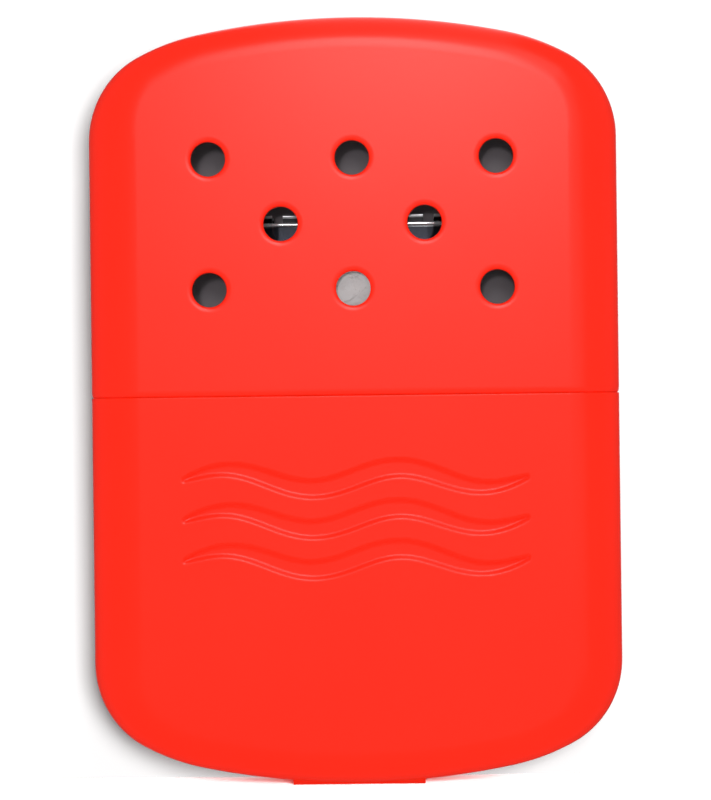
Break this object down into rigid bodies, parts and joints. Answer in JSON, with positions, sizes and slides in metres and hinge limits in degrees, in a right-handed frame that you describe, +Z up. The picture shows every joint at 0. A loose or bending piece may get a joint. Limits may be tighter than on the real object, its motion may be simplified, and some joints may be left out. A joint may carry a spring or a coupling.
{
  "type": "catalytic hand warmer",
  "caption": "Flat pocket hand warmer: a painted steel tank with an oval burner on its neck, under a vented lid that lifts off.",
  "frame": {"origin": "middle of the foot pad under the tank, on the surface that the warmer stands on", "axes": "+Z up through the lid, the front with the vents faces -Y, +X to the right seen from the front"},
  "size_m": [0.0684, 0.0126, 0.099],
  "materials": {
    "red_paint": "satin",
    "bare_steel": "satin",
    "bright_steel": "bright",
    "catalyst_fibre": "matte",
    "cotton": "matte"
  },
  "bodies": {
    "tank": {"tank_shell": "red_paint", "tank_insert": "bare_steel", "filler_neck": "bare_steel", "cotton_left": "cotton", "cotton_middle": "cotton", "cotton_right": "cotton", "cotton_throat": "cotton"},
    "burner": {"burner_housing": "bright_steel", "burner_screen": "bright_steel", "catalyst_cage": "bright_steel", "catalyst_mat": "catalyst_fibre"},
    "lid": {"lid_shell": "red_paint"}
  },
  "joints": [
    {"name": "lid_lift", "type": "slide", "parent": "tank", "child": "lid", "axis": [0, 0, 1], "range_m": [0, 0.06]},
    {"name": "burner_lift", "type": "slide", "parent": "tank", "child": "burner", "axis": [0, 0, 1], "range_m": [0, 0.018]}
  ]
}
